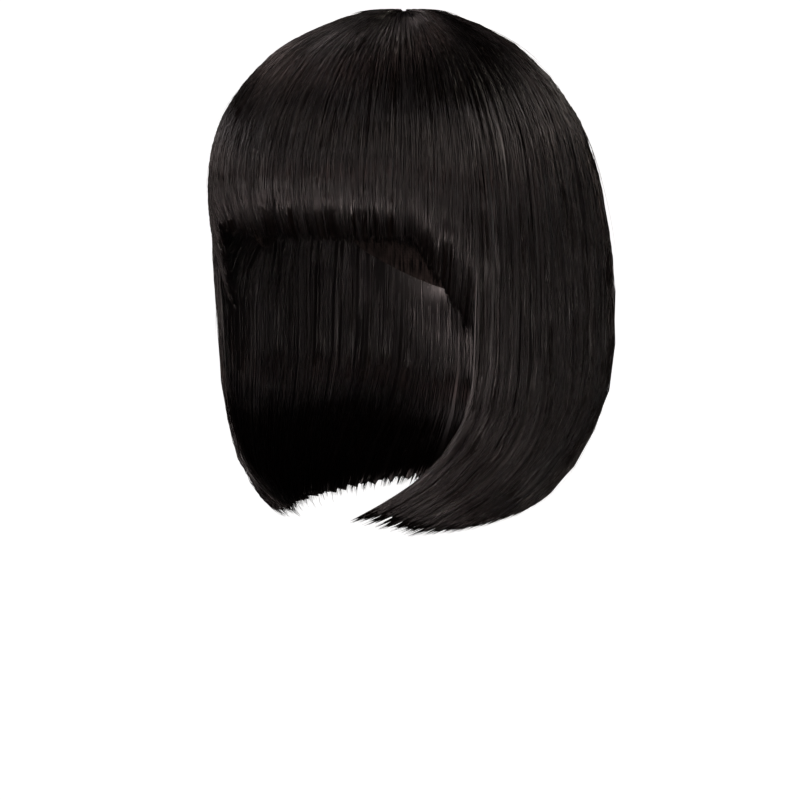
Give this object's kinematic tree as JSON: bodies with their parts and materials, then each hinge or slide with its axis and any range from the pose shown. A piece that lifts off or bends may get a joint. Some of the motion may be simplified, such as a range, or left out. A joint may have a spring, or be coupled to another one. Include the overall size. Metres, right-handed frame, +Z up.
{
  "type": "bob wig",
  "caption": "Chin-length straight bob wig with a full fringe: black hair combed out from a crown whorl over a thin fitted cap, ends curled in under the jaw.",
  "frame": {"origin": "highest point inside the cap, where the crown it is worn on holds it up", "axes": "+Z up, -Y towards the fringe, +X to the wearer's left"},
  "size_m": [0.2046, 0.2491, 0.2729],
  "materials": {
    "hair": "glossy straight synthetic fibre, near black with a warm sheen",
    "cap_net": "matt black stretch net with a narrow bound edge"
  },
  "bodies": {
    "root": {"cap": "cap_net", "crown_whorl": "hair", "fringe": "hair", "left_side": "hair", "right_side": "hair", "back": "hair"}
  },
  "joints": []
}
